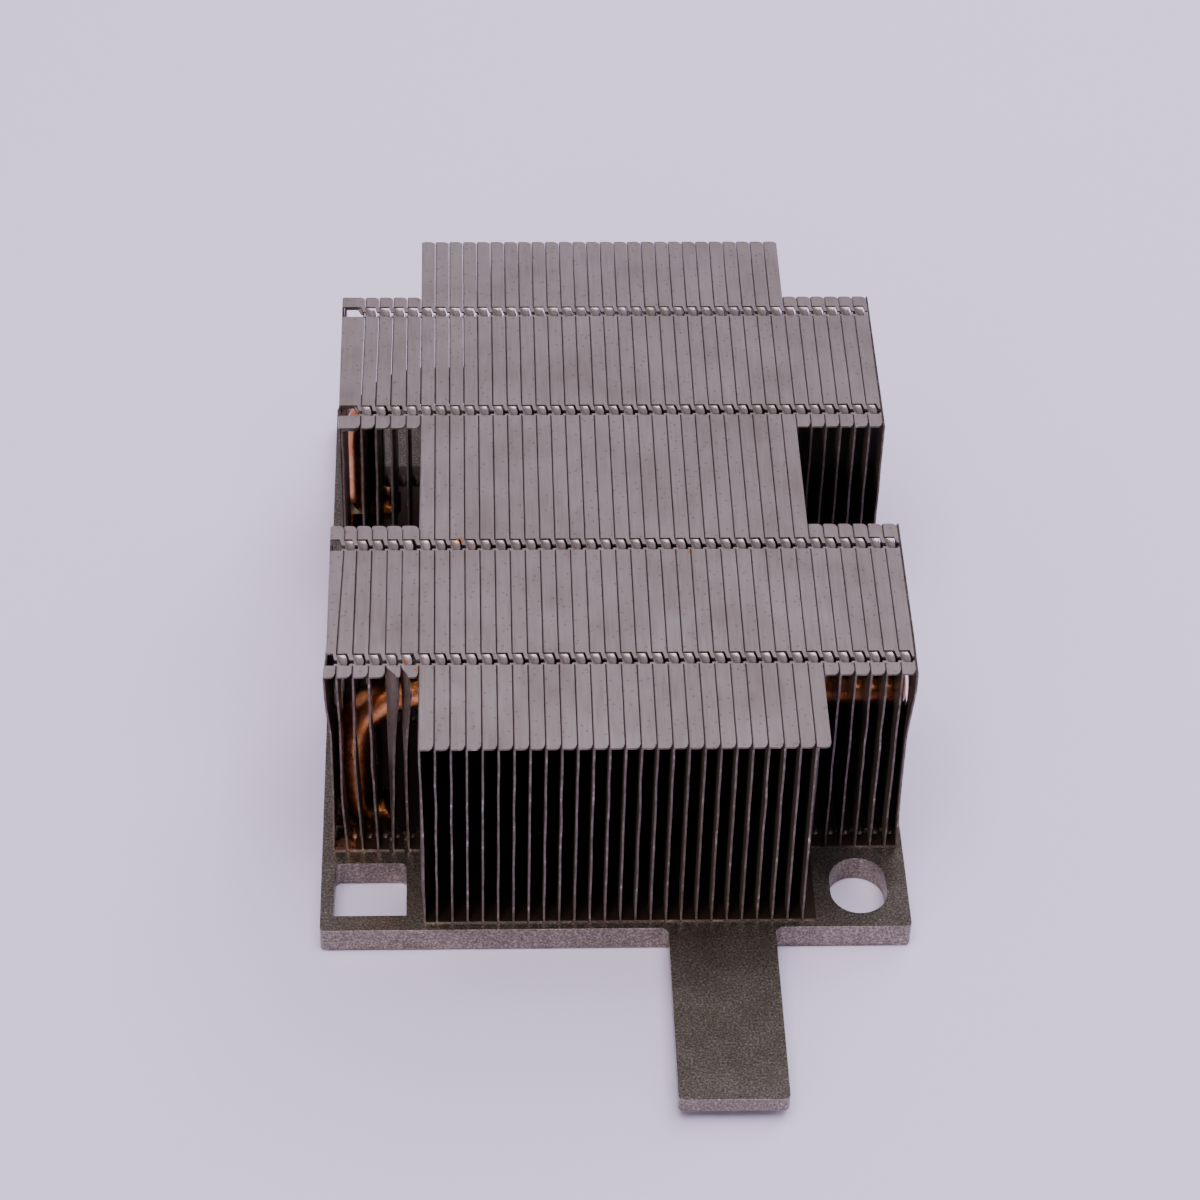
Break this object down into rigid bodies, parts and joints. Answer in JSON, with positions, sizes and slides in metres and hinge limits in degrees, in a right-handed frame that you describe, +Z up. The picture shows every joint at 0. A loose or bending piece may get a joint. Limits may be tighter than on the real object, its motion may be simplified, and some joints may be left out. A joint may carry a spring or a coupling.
{
  "type": "passive server cpu heatsink",
  "caption": "Passive server CPU heatsink: flat base plate with a finger tab and guide openings, zipped sheet metal fins, and two copper heat pipes.",
  "frame": {"origin": "centre of the base plate's underside, which is the face that meets the processor", "axes": "+Z up through the fins, +Y along the air channels away from the finger tab, +X across the fins with the heat pipe bends at -X"},
  "size_m": [0.0894, 0.1567, 0.0413],
  "materials": {
    "nickel_plate": "nickel plated, grainy blasted",
    "nickel_fins": "nickel plated sheet, satin",
    "copper_pipe": "bare drawn copper, slightly tarnished"
  },
  "bodies": {
    "root": {"base_plate": "nickel_plate", "end_wall_front": "nickel_fins", "end_wall_rear": "nickel_fins", "fin_left_front_1": "nickel_fins", "fin_left_front_2": "nickel_fins", "fin_left_front_3": "nickel_fins", "fin_left_front_4": "nickel_fins", "fin_left_front_5": "nickel_fins", "fin_left_front_6": "nickel_fins", "fin_left_rear_1": "nickel_fins", "fin_left_rear_2": "nickel_fins", "fin_left_rear_3": "nickel_fins", "fin_left_rear_4": "nickel_fins", "fin_left_rear_5": "nickel_fins", "fin_left_rear_6": "nickel_fins", "fin_middle_01": "nickel_fins", "fin_middle_02": "nickel_fins", "fin_middle_03": "nickel_fins", "fin_middle_04": "nickel_fins", "fin_middle_05": "nickel_fins", "fin_middle_06": "nickel_fins", "fin_middle_07": "nickel_fins", "fin_middle_08": "nickel_fins", "fin_middle_09": "nickel_fins", "fin_middle_10": "nickel_fins", "fin_middle_11": "nickel_fins", "fin_middle_12": "nickel_fins", "fin_middle_13": "nickel_fins", "fin_middle_14": "nickel_fins", "fin_middle_15": "nickel_fins", "fin_middle_16": "nickel_fins", "fin_middle_17": "nickel_fins", "fin_middle_18": "nickel_fins", "fin_middle_19": "nickel_fins", "fin_middle_20": "nickel_fins", "fin_middle_21": "nickel_fins", "fin_middle_22": "nickel_fins", "fin_middle_23": "nickel_fins", "fin_middle_24": "nickel_fins", "fin_middle_25": "nickel_fins", "fin_middle_26": "nickel_fins", "fin_right_front_1": "nickel_fins", "fin_right_front_2": "nickel_fins", "fin_right_front_3": "nickel_fins", "fin_right_front_4": "nickel_fins", "fin_right_front_5": "nickel_fins", "fin_right_front_6": "nickel_fins", "fin_right_rear_1": "nickel_fins", "fin_right_rear_2": "nickel_fins", "fin_right_rear_3": "nickel_fins", "fin_right_rear_4": "nickel_fins", "fin_right_rear_5": "nickel_fins", "fin_right_rear_6": "nickel_fins", "heat_pipe_front": "copper_pipe", "heat_pipe_rear": "copper_pipe"}
  },
  "joints": []
}
